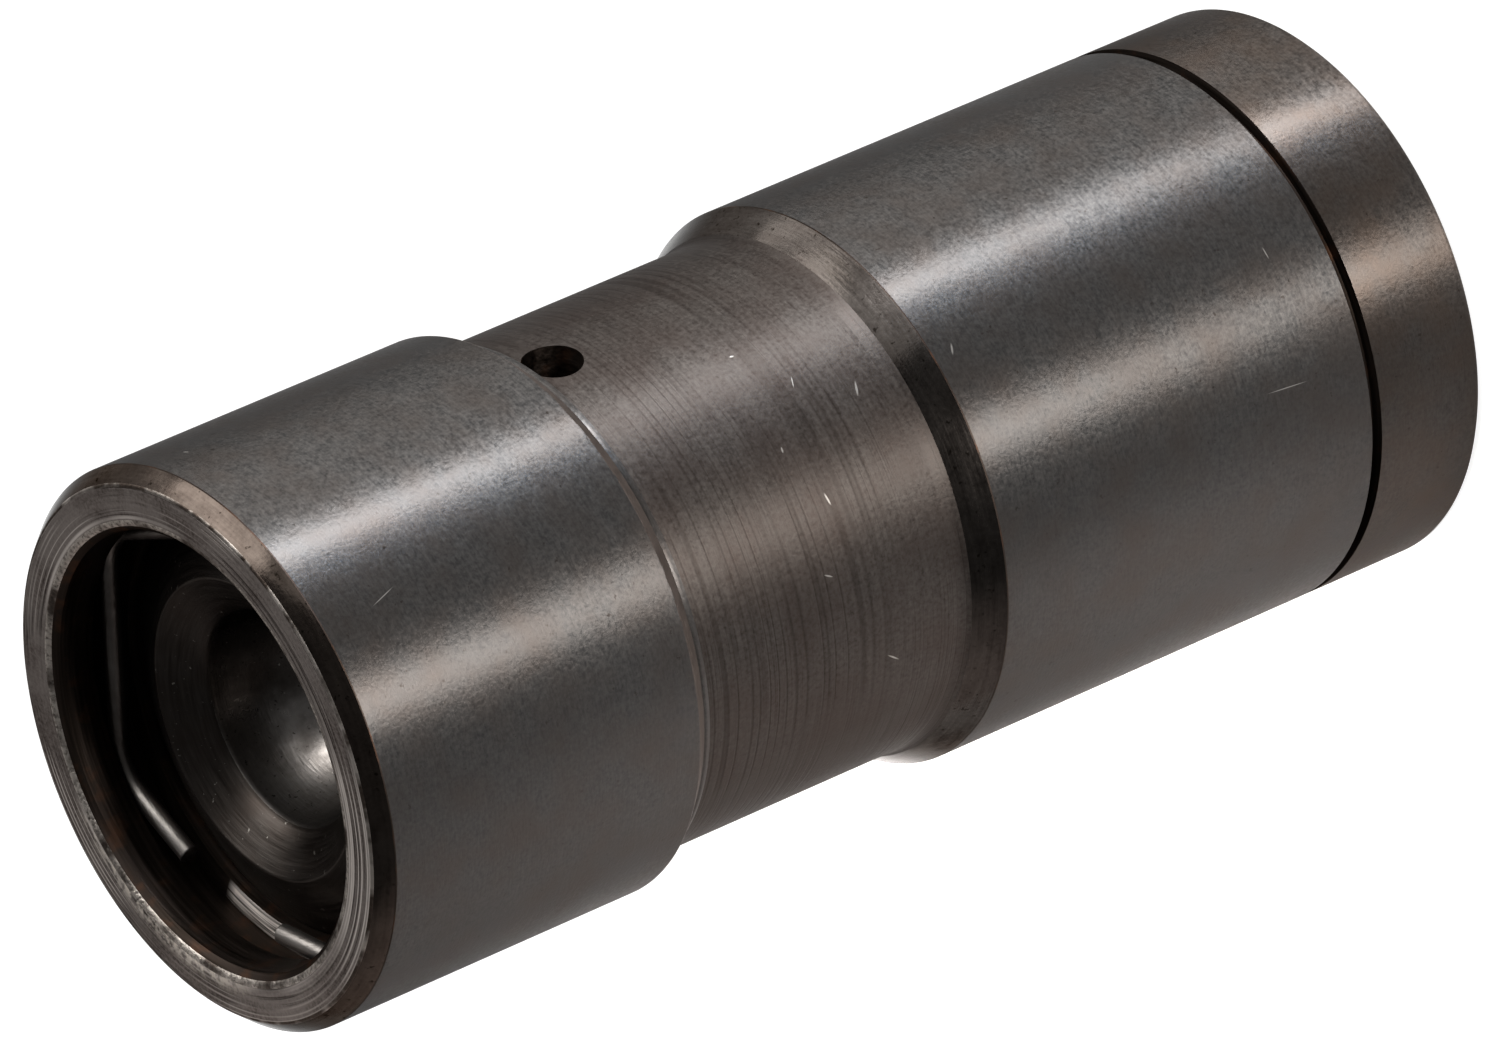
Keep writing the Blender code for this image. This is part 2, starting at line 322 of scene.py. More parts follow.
def start_steel(name, anisotropy):
    """New metal material with its grain running round the axis: its node tree and its shader."""
    material = bpy.data.materials.new(name)
    material.use_nodes = True
    tree = material.node_tree
    tree.nodes.clear()
    shader = node(tree, "ShaderNodeBsdfPrincipled", {
        "Metallic": 1.0, "Specular Tint": (0.5, 0.5, 0.5, 1), "Anisotropic": anisotropy})
    if anisotropy:
        shader.inputs["Anisotropic Rotation"].default_value = 0.25
        grain = node(tree, "ShaderNodeTangent", direction_type="RADIAL", axis="Z")
        tree.links.new(grain.outputs[0], shader.inputs["Tangent"])
    node(tree, "ShaderNodeOutputMaterial", {"Surface": shader.outputs[0]})
    return material, tree, shader


def set_surface(tree, shader, colour, roughness, height, depth):
    """Links a steel's colour and roughness, and its bumps at a depth in millimetres."""
    tree.links.new(colour, shader.inputs["Base Color"])
    tree.links.new(roughness, shader.inputs["Roughness"])
    bump = node(tree, "ShaderNodeBump", {"Height": height, "Strength": 1.0, "Distance": depth * MM})
    tree.links.new(bump.outputs[0], shader.inputs["Normal"])


def make_ground_steel(name, dark, light, stain):
    """Land or foot: ground, with fine broken lines round the body, mottling, stains and pinholes."""
    material, tree, shader = start_steel(name, anisotropy=0.95)
    lines = marks(tree, spacing=0.08, run=24.0)["Lines"]
    grain = patches(tree, size=0.16, cover=0.5, edge=0.2, offset=0.37)
    mottle = patches(tree, size=0.6, cover=0.5, edge=0.25, offset=0.11)
    fine = maths(tree, "ADD", maths(tree, "MULTIPLY", lines, 0.3), maths(tree, "MULTIPLY", grain, 0.52))
    mixed = maths(tree, "ADD", fine, maths(tree, "MULTIPLY", mottle, 0.18))
    colour = tint(tree, spread(tree, mixed, 0.2, 0.8), dark, light)
    stained = maths(tree, "MULTIPLY", patches(tree, size=2.2, cover=0.42, edge=0.15), 0.5)
    colour = tint(tree, stained, colour, stain)
    pinholes = patches(tree, size=0.3, cover=0.1, edge=0.03, offset=0.31)
    colour = tint(tree, maths(tree, "MULTIPLY", pinholes, 0.6), colour, (0.018, 0.013, 0.01, 1))
    scratched = scratches(tree, LAND_RADIUS, [
        (-127.5, 21.45, -129.8, 21.64, 0.09), (-74.1, 48.63, -75.3, 48.53, 0.08),
        (-130.3, 47.9, -128.4, 46.8, 0.04), (-134.3, 7.72, -136.9, 7.69, 0.05),
        (-161.1, 9.72, -161.9, 7.92, 0.04)])
    colour = tint(tree, maths(tree, "MULTIPLY", scratched, 0.5), colour, (0.55, 0.53, 0.5, 1))
    roughness = spread(tree, mixed, 0.25, 0.75, 0.38, 0.5)
    set_surface(tree, shader, colour, roughness, maths(tree, "ADD", lines, grain), depth=0.0022)
    return material


def make_skin(name, dark, light, rubbed_thin):
    """Shoulder or the mouth's chamfer: the brown-black skin, rubbed thin in places."""
    material, tree, shader = start_steel(name, anisotropy=0.0)
    shader.inputs["Specular Tint"].default_value = (0.42, 0.42, 0.42, 1)
    cuts = marks(tree, spacing=0.12, run=5.0)
    grain = patches(tree, size=0.16, cover=0.5, edge=0.25, offset=0.27)
    both = maths(tree, "ADD", cuts["Lines"], cuts["Bands"])
    mixed = maths(tree, "MULTIPLY", maths(tree, "ADD", both, grain), 0.333)
    colour = tint(tree, spread(tree, mixed, 0.1, 0.9), dark, light)
    rubbed = maths(tree, "MULTIPLY", patches(tree, size=1.1, cover=0.35, edge=0.12, offset=0.7), 0.3)
    colour = tint(tree, rubbed, colour, rubbed_thin)
    specks = patches(tree, size=0.24, cover=0.17, edge=0.03, offset=0.13)
    colour = tint(tree, maths(tree, "MULTIPLY", specks, 0.8), colour, (0.009, 0.007, 0.005, 1))
    roughness = spread(tree, mixed, 0.2, 0.8, 0.14, 0.19)
    set_surface(tree, shader, colour, roughness, mixed, depth=0.005)
    return material


def make_waist_steel():
    """Waist: left as turned, with long thin grooves round it, finer lines between and a brown cast."""
    material, tree, shader = start_steel("turned_steel", anisotropy=0.8)
    lines = marks(tree, spacing=0.13, run=3.5)["Lines"]
    grooves = marks(tree, spacing=0.5, run=1.2)["Scores"]
    hairlines = marks(tree, spacing=0.28, run=2.0)["Scores"]
    grain = patches(tree, size=0.16, cover=0.5, edge=0.2, offset=0.57)
    rough = maths(tree, "ADD", maths(tree, "MULTIPLY", lines, 0.35), maths(tree, "MULTIPLY", grain, 0.65))
    colour = tint(tree, spread(tree, rough, 0.1, 0.9), (0.032, 0.0271, 0.0247, 1),
                  (0.081, 0.0721, 0.0665, 1))
    stained = maths(tree, "MULTIPLY", patches(tree, size=2.4, cover=0.45, edge=0.15, offset=0.5), 0.4)
    colour = tint(tree, stained, colour, (0.042, 0.031, 0.027, 1))
    cut = maths(tree, "MAXIMUM", grooves, maths(tree, "MULTIPLY", hairlines, 0.5))
    colour = tint(tree, maths(tree, "MULTIPLY", cut, 0.36), colour, (0.016, 0.012, 0.01, 1))
    scratched = scratches(tree, WAIST_RADIUS, [
        (-125.5, 25.23, -128.7, 25.46, 0.1), (-144.5, 28.58, -147.4, 28.49, 0.09),
        (-160.4, 29.65, -161.5, 29.3, 0.07), (175.8, 27.26, 173.5, 26.73, 0.07),
        (-132.2, 29.36, -133.6, 29.41, 0.08), (-109, 28.93, -109.2, 28.73, 0.08),
        (-118.9, 27.37, -121.6, 27.57, 0.05)])
    colour = tint(tree, maths(tree, "MULTIPLY", scratched, 0.4), colour, (0.55, 0.53, 0.5, 1))
    roughness = spread(tree, rough, 0.2, 0.8, 0.48, 0.6)
    height = maths(tree, "SUBTRACT", maths(tree, "MULTIPLY", rough, 0.5), cut)
    set_surface(tree, shader, colour, roughness, height, depth=0.009)
    return material


def sector(tree, azimuth, half_width, fade):
    """Mask that is 1 within a sector round the axis and fades out beyond it, in degrees."""
    spoke = from_axis(tree)[1]
    middle = (math.cos(math.radians(azimuth)), math.sin(math.radians(azimuth)), 0)
    nearness = node(tree, "ShaderNodeVectorMath", {0: spoke, 1: middle}, operation="DOT_PRODUCT")
    outside = math.cos(math.radians(half_width + fade))
    inside = math.cos(math.radians(half_width))
    return spread(tree, nearness.outputs["Value"], outside, inside)


def make_rim_steel():
    """Face of the mouth: faced off bright, with the tool's rings showing and one beaten place."""
    material, tree, shader = start_steel("faced_steel", anisotropy=0.15)
    scores = marks(tree, spacing=0.3, run=1.6)["Scores"]
    rings = marks(tree, spacing=0.12, run=3.0)
    hairs = rings["Scores"]
    grain = patches(tree, size=0.15, cover=0.5, edge=0.16, offset=0.77)
    worn = patches(tree, size=4.0, cover=0.5, edge=0.06, offset=0.2)
    rough = maths(tree, "MULTIPLY", maths(tree, "ADD", rings["Lines"], grain), 0.5)
    colour = tint(tree, spread(tree, rough, 0.15, 0.85), (0.06, 0.048, 0.043, 1), (0.22, 0.193, 0.18, 1))
    colour = tint(tree, maths(tree, "MULTIPLY", worn, 0.45), colour, (0.27, 0.245, 0.23, 1))
    colour = tint(tree, maths(tree, "MULTIPLY", hairs, 0.75), colour, (0.025, 0.018, 0.015, 1))
    colour = tint(tree, maths(tree, "MULTIPLY", scores, 0.8), colour, (0.75, 0.7, 0.66, 1))
    near_bore = spread(tree, from_axis(tree)[0], BEATEN_INSIDE, BEATEN_OUTSIDE, 1.0, 0.0)
    beaten = sector(tree, BEATEN_AZIMUTH, BEATEN_HALF_WIDTH, BEATEN_FADE)
    beaten = maths(tree, "MULTIPLY", beaten, near_bore)
    beaten = maths(tree, "MULTIPLY", beaten, patches(tree, size=0.35, cover=0.5, edge=0.08, offset=0.53))
    colour = tint(tree, maths(tree, "MULTIPLY", beaten, 0.85), colour, (0.8, 0.74, 0.66, 1))
    roughness = spread(tree, rough, 0.2, 0.8, 0.34, 0.46)
    set_surface(tree, shader, colour, roughness, maths(tree, "SUBTRACT", rough, hairs), depth=0.01)
    return material


def make_nicked_steel():
    """Outer edge of the mouth's face: skin knocked through to bright metal by small nicks."""
    material, tree, shader = start_steel("nicked_edge", anisotropy=0.0)
    nicks = patches(tree, size=1.5, cover=0.4, edge=0.09, offset=0.83)
    grain = patches(tree, size=0.15, cover=0.5, edge=0.25, offset=0.47)
    colour = tint(tree, grain, (0.05, 0.038, 0.031, 1), (0.09, 0.073, 0.063, 1))
    colour = tint(tree, nicks, colour, (0.42, 0.385, 0.355, 1))
    roughness = spread(tree, grain, 0.0, 1.0, 0.34, 0.46)
    set_surface(tree, shader, colour, roughness, maths(tree, "ADD", nicks, grain), depth=0.008)
    return material


def make_burr_steel():
    """Inner edge of the mouth: a thin ragged burr, bright where it has been knocked."""
    material, tree, shader = start_steel("burred_edge", anisotropy=0.0)
    grain = patches(tree, size=0.15, cover=0.5, edge=0.25, offset=0.17)
    knocked = patches(tree, size=1.4, cover=0.58, edge=0.1, offset=0.9)
    ragged = maths(tree, "MULTIPLY", knocked, spread(tree, grain, 0.0, 0.6))
    colour = tint(tree, grain, (0.05, 0.04, 0.034, 1), (0.12, 0.1, 0.088, 1))
    colour = tint(tree, ragged, colour, (0.5, 0.46, 0.42, 1))
    roughness = spread(tree, grain, 0.0, 1.0, 0.32, 0.45)
    set_surface(tree, shader, colour, roughness, maths(tree, "ADD", ragged, grain), depth=0.01)
    return material


def make_bore_steel():
    """Bore, oil passages, narrow groove and two fine edges: turned, and still under the dark skin."""
    material, tree, shader = start_steel("bore_steel", anisotropy=0.3)
    lines = marks(tree, spacing=0.2, run=2.0)["Lines"]
    colour = tint(tree, lines, (0.012, 0.009, 0.007, 1), (0.035, 0.027, 0.023, 1))
    rust = maths(tree, "MULTIPLY", patches(tree, size=1.2, cover=0.25, edge=0.1, offset=0.4), 0.4)
    colour = tint(tree, rust, colour, (0.09, 0.04, 0.02, 1))
    roughness = spread(tree, lines, 0.0, 1.0, 0.4, 0.55)
    set_surface(tree, shader, colour, roughness, lines, depth=0.012)
    return material


def make_groove_steel():
    """Lower side of the clip groove: dark as the bore, with a painted highlight in one streaked sector."""
    material, tree, shader = start_steel("grooved_steel", anisotropy=0.5)
    lines = marks(tree, spacing=0.16, run=1.5)["Lines"]
    streaks = spread(tree, lines, 0.3, 0.75)
    dark = tint(tree, lines, (0.01, 0.0075, 0.006, 1), (0.03, 0.023, 0.019, 1))
    # Painted highlight: near-white streaks in one sector of the groove stand in for the lamp's light
    # falling there.
    bright = tint(tree, streaks, (0.06, 0.049, 0.042, 1), (0.95, 0.88, 0.83, 1))
    colour = tint(tree, sector(tree, GROOVE_HIGHLIGHT_AZIMUTH, GROOVE_HIGHLIGHT_HALF_WIDTH, GROOVE_HIGHLIGHT_FADE), dark, bright)
    roughness = spread(tree, lines, 0.0, 1.0, 0.45, 0.58)
    set_surface(tree, shader, colour, roughness, lines, depth=0.01)
    return material


def make_shoulder_film():
    """Shoulder under the front land: a dull brown film of baked oil that no tool or cloth has reached."""
    material, tree, shader = start_steel("baked_oil", anisotropy=0.0)
    shader.inputs["Metallic"].default_value = 0.7
    shader.inputs["Specular IOR Level"].default_value = 0.1
    thick = patches(tree, size=0.5, cover=0.5, edge=0.2, offset=0.33)
    grain = patches(tree, size=0.14, cover=0.5, edge=0.25, offset=0.67)
    mixed = maths(tree, "MULTIPLY", maths(tree, "ADD", thick, grain), 0.5)
    colour = tint(tree, mixed, (0.034, 0.027, 0.0235, 1), (0.076, 0.062, 0.055, 1))
    roughness = spread(tree, mixed, 0.0, 1.0, 0.5, 0.65)
    set_surface(tree, shader, colour, roughness, mixed, depth=0.01)
    return material


def make_body():
    """Turned bands from the middle of the foot up the outside, over the rim and down the stepped bore.
    A small bead that the tool left lies in the corner under the front land."""
    point_top = CHAMBER_END + CHAMBER_RADIUS / math.tan(DRILL_POINT / 2)
    bands = [
        (FOOT, [(0, 0), (LAND_RADIUS - FOOT_CHAMFER, 0), (LAND_RADIUS, FOOT_CHAMFER),
                (LAND_RADIUS, MARK_FOOT)]),
        (BORE, [(LAND_RADIUS, MARK_FOOT), (MARK_RADIUS, MARK_FOOT), (MARK_RADIUS, MARK_TOP),
                (LAND_RADIUS, MARK_TOP)]),
        (GROUND, [(LAND_RADIUS, MARK_TOP), (LAND_RADIUS, REAR_LAND_TOP)]),
        (SKIN, [(LAND_RADIUS, REAR_LAND_TOP), (WAIST_RADIUS, WAIST_FOOT)]),
        (WAIST, [(WAIST_RADIUS, WAIST_FOOT), (WAIST_RADIUS, CORNER_FOOT), (BEAD_FOOT_RADIUS, BEAD_FOOT)]),
        (GROUND, [(BEAD_FOOT_RADIUS, BEAD_FOOT), (BEAD_RADIUS, BEAD_PEAK), (BEAD_TOP_RADIUS, BEAD_TOP)]),
        (FILM, [(BEAD_TOP_RADIUS, BEAD_TOP), (LAND_RADIUS, FRONT_LAND_FOOT)]),
        (GROUND, [(LAND_RADIUS, FRONT_LAND_FOOT), (LAND_RADIUS, RIM_CHAMFER_FOOT)]),
        (CHAMFER, [(LAND_RADIUS, RIM_CHAMFER_FOOT), (RIM_EDGE_RADIUS, MOUTH)]),
        (RIM, [(RIM_EDGE_RADIUS, MOUTH), (BORE_EDGE_RADIUS, MOUTH)]),
        (BORE, [(BORE_EDGE_RADIUS, MOUTH), (BORE_RADIUS, BORE_EDGE_FOOT), (BORE_RADIUS, GROOVE_TOP)]),
        (BORE, [(BORE_RADIUS, GROOVE_TOP), (GROOVE_RADIUS, GROOVE_TOP), (GROOVE_RADIUS, GROOVE_FOOT)]),
        (GROOVE, [(GROOVE_RADIUS, GROOVE_FOOT), (BORE_RADIUS, GROOVE_FOOT)]),
        (BORE, [(BORE_RADIUS, GROOVE_FOOT), (BORE_RADIUS, LEDGE), (POCKET_RADIUS, LEDGE),
                (POCKET_RADIUS, POCKET_FOOT), (CHAMBER_RADIUS, POCKET_FOOT), (CHAMBER_RADIUS, point_top),
                (0, CHAMBER_END)]),
    ]
    shape = bmesh.new()
    for finish, line in bands:
        turn(shape, line, finish, BODY_STEPS)
    close_turned(shape)
    for radius, height, width, segments, finish in (
            (WAIST_RADIUS, WAIST_FOOT, SHOULDER_FILLET, 6, WAIST),
            (BEAD_RADIUS, BEAD_PEAK, BEAD_EDGE, 4, GROUND),
            (LAND_RADIUS, REAR_LAND_TOP, FINE_EDGE, 2, BORE),
            (LAND_RADIUS, FRONT_LAND_FOOT, BROKEN_EDGE, 3, None),
            (LAND_RADIUS, RIM_CHAMFER_FOOT, FINE_EDGE, 2, BORE),
            (RIM_EDGE_RADIUS, MOUTH, RIM_EDGE, 3, NICKED),
            (BORE_EDGE_RADIUS, MOUTH, BORE_EDGE, 4, BURR),
            (LAND_RADIUS - FOOT_CHAMFER, 0, BROKEN_EDGE, 3, None),
            (LAND_RADIUS, FOOT_CHAMFER, BROKEN_EDGE, 3, None),
            (LAND_RADIUS, MARK_TOP, FINE_EDGE, 2, None),
            (LAND_RADIUS, MARK_FOOT, FINE_EDGE, 2, None),
            (BORE_RADIUS, GROOVE_TOP, GROOVE_EDGE, 2, None),
            (BORE_RADIUS, GROOVE_FOOT, GROOVE_EDGE, 2, None)):
        soften_ring(shape, radius, height, width, segments, finish)
    return shape


def drill_oil_hole(body):
    """Cuts the oil hole through one wall of the waist with a round drill."""
    drill_shape = bmesh.new()
    bmesh.ops.create_cone(drill_shape, cap_ends=True, segments=DRILL_STEPS, radius1=OIL_HOLE_RADIUS,
                          radius2=OIL_HOLE_RADIUS, depth=2 * LAND_RADIUS)
    bmesh.ops.rotate(drill_shape, verts=drill_shape.verts,
                     matrix=Matrix.Rotation(math.radians(90), 3, "X"))
    bmesh.ops.translate(drill_shape, verts=drill_shape.verts, vec=(0, -LAND_RADIUS, OIL_HOLE_HEIGHT))
    drill_mesh = bpy.data.meshes.new("oil_hole_drill")
    drill_shape.to_mesh(drill_mesh)
    drill_shape.free()
    for finish in body.data.materials:
        drill_mesh.materials.append(finish)
    for face in drill_mesh.polygons:
        face.material_index = BORE
    drill = bpy.data.objects.new("oil_hole_drill", drill_mesh)
    bpy.context.collection.objects.link(drill)
    cut = body.modifiers.new("oil_hole", "BOOLEAN")
    cut.operation = "DIFFERENCE"
    cut.solver = "EXACT"
    cut.object = drill
    bpy.context.view_layer.objects.active = body
    bpy.ops.object.modifier_apply(modifier=cut.name)
    bpy.data.objects.remove(drill)
    body.data.set_sharp_from_angle(angle=SMOOTH_ANGLE)


land_steel = make_ground_steel("ground_land", (0.038, 0.0372, 0.037, 1), (0.087, 0.0828, 0.0803, 1),
                               (0.06, 0.049, 0.043, 1))
foot_steel = make_ground_steel("ground_foot", (0.036, 0.0322, 0.03, 1), (0.084, 0.0748, 0.069, 1),
                               (0.07, 0.051, 0.04, 1))
shoulder_skin = make_skin("shoulder_skin", (0.029, 0.024, 0.0215, 1), (0.08, 0.071, 0.065, 1),
                          (0.085, 0.076, 0.069, 1))
chamfer_skin = make_skin("chamfer_skin", (0.03, 0.0235, 0.02, 1), (0.08, 0.065, 0.0557, 1),
                         (0.1, 0.083, 0.072, 1))
body_finishes = [land_steel, foot_steel, shoulder_skin, chamfer_skin, make_waist_steel(),
                 make_shoulder_film(), make_rim_steel(), make_nicked_steel(), make_burr_steel(),
                 make_bore_steel(), make_groove_steel()]
turned_body = add_piece("turned_body", make_body(), body_finishes, "body", "lifter_body")
drill_oil_hole(turned_body)


# Metering disc: a flat disc stamped from bright steel sheet, with one small hole in its middle.
# It lies loose in a pocket under the seat, and rises on the oil to meter how much passes up.
DISC_FOOT, DISC_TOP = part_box("metering_disc")
DISC_HOLE_RADIUS = 0.6 * MM
DISC_STEPS = 128


def make_disc_steel():
    """Disc: rolled sheet, tumbled after stamping."""
    material, tree, shader = start_steel("stamped_sheet", anisotropy=0.0)
    rolled = marks(tree, spacing=0.3, run=14.0, tilt=0.9)["Lines"]
    dulled = patches(tree, size=0.8, cover=0.5, edge=0.2, offset=0.6)
    colour = tint(tree, dulled, (0.42, 0.42, 0.43, 1), (0.3, 0.295, 0.29, 1))
    roughness = spread(tree, rolled, 0.0, 1.0, 0.26, 0.4)
    set_surface(tree, shader, colour, roughness, rolled, depth=0.004)
    return material


disc_shape = bmesh.new()
turn(disc_shape, [(DISC_HOLE_RADIUS, DISC_FOOT.z), (DISC_TOP.x, DISC_FOOT.z), (DISC_TOP.x, DISC_TOP.z),
                  (DISC_HOLE_RADIUS, DISC_TOP.z), (DISC_HOLE_RADIUS, DISC_FOOT.z)], 0, DISC_STEPS)
close_turned(disc_shape)
for disc_edge_radius in (DISC_HOLE_RADIUS, DISC_TOP.x):
    for disc_edge_height in (DISC_FOOT.z, DISC_TOP.z):
        soften_ring(disc_shape, disc_edge_radius, disc_edge_height, BROKEN_EDGE, 3)
add_piece("stamped_disc", disc_shape, [make_disc_steel()], "disc", "metering_disc")


# Pushrod seat: a turned steel cup that slides in the bore, held down by the pushrod's ball.
# Its bowl is ground and lapped, and a small hole in the bowl lets oil up into the pushrod.
SEAT_FOOT, SEAT_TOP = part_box("pushrod_seat")
SEAT_RADIUS = BORE_RADIUS - 0.1 * MM
SOCKET_RADIUS = 4.1 * MM
SOCKET_LIP = 0.34 * MM
LIP_ROUNDING = 0.2 * MM
LIP_RADIUS = SOCKET_RADIUS + SOCKET_LIP
LIP_HEIGHT = SEAT_TOP.z - 0.85 * MM
RING_RADIUS = LIP_RADIUS + 1.27 * MM
RING_ROUNDING = 0.08 * MM
SEAT_SLOPE = math.radians(27)
SEAT_HOLE_RADIUS = 0.8 * MM
SEAT_CHAMFER = 0.4 * MM
SEAT_STEPS = 192
BOWL_STEPS = 24
# Sector of the bowl kept bright where its highlight falls; painted shade darkens the rest.
SOCKET_HIGHLIGHT_AZIMUTH = 72
SOCKET_HIGHLIGHT_HALF_WIDTH = 26
SOCKET_HIGHLIGHT_FADE = 30
SOCKET_SHADE_STRENGTH = 0.82
SEAT_TURNED, SEAT_LAPPED = range(2)


def make_seat_steel():
    """Seat's outside and its lead-in: turned, with a thin brown film of old oil."""
    material, tree, shader = start_steel("oiled_steel", anisotropy=0.5)
    lines = marks(tree, spacing=0.12, run=3.0)["Lines"]
    colour = tint(tree, lines, (0.034, 0.029, 0.026, 1), (0.066, 0.058, 0.053, 1))
    film = maths(tree, "MULTIPLY", patches(tree, size=1.6, cover=0.45, edge=0.15, offset=0.8), 0.5)
    colour = tint(tree, film, colour, (0.034, 0.026, 0.022, 1))
    dust = patches(tree, size=0.25, cover=0.1, edge=0.02, offset=0.25)
    colour = tint(tree, maths(tree, "MULTIPLY", dust, 0.6), colour, (0.4, 0.38, 0.35, 1))
    roughness = spread(tree, lines, 0.0, 1.0, 0.34, 0.46)
    set_surface(tree, shader, colour, roughness, lines, depth=0.005)
    return material


def make_socket_steel():
    """Ball socket: lapped smooth, with painted shade that darkens all but the side where its highlight
    falls.
    """
    material, tree, shader = start_steel("lapped_steel", anisotropy=0.3)
    lines = marks(tree, spacing=0.1, run=6.0)["Lines"]
    dulled = patches(tree, size=1.2, cover=0.5, edge=0.15, offset=0.45)
    colour = tint(tree, dulled, (0.38, 0.356, 0.34, 1), (0.17, 0.155, 0.144, 1))
    # Painted shade: outside the highlight's sector the bowl is darkened towards near black, which also
    # hides a reflection.
    highlight_side = sector(tree, SOCKET_HIGHLIGHT_AZIMUTH, SOCKET_HIGHLIGHT_HALF_WIDTH, SOCKET_HIGHLIGHT_FADE)
    painted_shade = maths(tree, "SUBTRACT", SOCKET_SHADE_STRENGTH, maths(tree, "MULTIPLY", highlight_side, SOCKET_SHADE_STRENGTH))
    colour = tint(tree, painted_shade, colour, (0.03, 0.025, 0.022, 1))
    pits = patches(tree, size=0.2, cover=0.16, edge=0.03, offset=0.85)
    colour = tint(tree, maths(tree, "MULTIPLY", pits, 0.85), colour, (0.02, 0.016, 0.013, 1))
    dust = patches(tree, size=0.22, cover=0.1, edge=0.02, offset=0.65)
    colour = tint(tree, maths(tree, "MULTIPLY", dust, 0.6), colour, (0.42, 0.4, 0.37, 1))
    roughness = spread(tree, dulled, 0.0, 1.0, 0.27, 0.35)
    set_surface(tree, shader, colour, roughness, maths(tree, "ADD", lines, dulled), depth=0.003)
    return material


def make_seat():
    """Turned bands of the seat: its outside and lead-in, and its bowl down to the oil hole."""
    slope_foot = SEAT_TOP.z - (SEAT_RADIUS - RING_RADIUS) * math.tan(SEAT_SLOPE)
    bowl_centre = LIP_HEIGHT - SOCKET_LIP
    hole_angle = math.asin(SEAT_HOLE_RADIUS / SOCKET_RADIUS)
    bowl = []
    for step in range(BOWL_STEPS + 1):
        angle = math.pi / 2 + (hole_angle - math.pi / 2) * step / BOWL_STEPS
        bowl.append((SOCKET_RADIUS * math.sin(angle), bowl_centre - SOCKET_RADIUS * math.cos(angle)))
    outside = [(SEAT_HOLE_RADIUS, SEAT_FOOT.z), (SEAT_RADIUS - SEAT_CHAMFER, SEAT_FOOT.z),
               (SEAT_RADIUS, SEAT_FOOT.z + SEAT_CHAMFER), (SEAT_RADIUS, slope_foot),
               (RING_RADIUS, SEAT_TOP.z), (LIP_RADIUS, LIP_HEIGHT)]
    shape = bmesh.new()
    turn(shape, outside, SEAT_TURNED, SEAT_STEPS)
    turn(shape, [outside[-1], bowl[0]], SEAT_TURNED, SEAT_STEPS)
    turn(shape, [*bowl, outside[0]], SEAT_LAPPED, SEAT_STEPS)
    close_turned(shape)
    soften_ring(shape, RING_RADIUS, SEAT_TOP.z, RING_ROUNDING, 4)
    soften_ring(shape, LIP_RADIUS, LIP_HEIGHT, LIP_ROUNDING, 6, SEAT_TURNED)
    soften_ring(shape, *bowl[0], LIP_ROUNDING, 6)
    soften_ring(shape, SEAT_RADIUS, slope_foot, BROKEN_EDGE, 3)
    return shape


add_piece("socket_cup", make_seat(), [make_seat_steel(), make_socket_steel()], "seat", "pushrod_seat")


# Retaining clip: hard spring wire bent into six flats, with both ends sheared off.
# It is squeezed, dropped into the mouth and let go, and its bends spring out into the groove.
WIRE_RADIUS = 0.375 * MM
CLIP_FLATS = 6
CLIP_PLAY = 0.1 * MM
CLIP_BEND_RADIUS = 2.1 * MM
CLIP_END_NORMAL = math.radians(15)
CLIP_END_ANGLE = math.radians(20.5)
CLIP_GAP_AZIMUTH = math.radians(82)
CLIP_HALF_TURN = (math.pi - CLIP_END_NORMAL) / (CLIP_FLATS - 1)
CLIP_BEND_CENTRE = GROOVE_RADIUS - CLIP_PLAY - WIRE_RADIUS - CLIP_BEND_RADIUS
CLIP_FLAT_RADIUS = CLIP_BEND_CENTRE * math.cos(CLIP_HALF_TURN) + CLIP_BEND_RADIUS
CLIP_HEIGHT = GROOVE_TOP - CLIP_PLAY - WIRE_RADIUS
WIRE_SIDES = 24
BEND_STEPS = 20
END_ROUNDING = 0.07 * MM
END_EDGE_ANGLE = math.radians(60)
# Sector of wire on each side of the gap that gets a painted highlight.
CLIP_HIGHLIGHT_HALF_WIDTH = 30
CLIP_HIGHLIGHT_FADE = 20


def make_spring_steel():
    """Clip: drawn wire, dark from its tempering, with a painted highlight towards its two ends."""
    material, tree, shader = start_steel("spring_wire", anisotropy=0.0)
    drawn = marks(tree, spacing=0.09, run=4.0)["Lines"]
    darkened = patches(tree, size=1.5, cover=0.5, edge=0.2, offset=0.15)
    colour = tint(tree, darkened, (0.16, 0.148, 0.14, 1), (0.08, 0.07, 0.064, 1))
    # Painted highlight: the wire is lightened towards both ends, round the gap.
    ends = sector(tree, math.degrees(CLIP_GAP_AZIMUTH), CLIP_HIGHLIGHT_HALF_WIDTH, CLIP_HIGHLIGHT_FADE)
    colour = tint(tree, ends, colour, (0.42, 0.395, 0.375, 1))
    colour = tint(tree, maths(tree, "MULTIPLY", drawn, 0.4), colour, (0.07, 0.06, 0.053, 1))
    roughness = spread(tree, drawn, 0.0, 1.0, 0.28, 0.42)
    set_surface(tree, shader, colour, roughness, drawn, depth=0.006)
    return material


def across_gap(radius, angle):
    """Point in the clip's plane, with the angle measured from the middle of its gap."""
    angle += CLIP_GAP_AZIMUTH
    return Vector((radius * math.cos(angle), radius * math.sin(angle), CLIP_HEIGHT))


def pull_wire(shape, end, move):
    """Draws the wire's open end out straight, and gives the new end."""
    drawn = bmesh.ops.extrude_edge_only(shape, edges=end)["geom"]
    corners = [part for part in drawn if isinstance(part, bmesh.types.BMVert)]
    bmesh.ops.translate(shape, verts=corners, vec=move)
    return [part for part in drawn if isinstance(part, bmesh.types.BMEdge) and part.is_boundary]


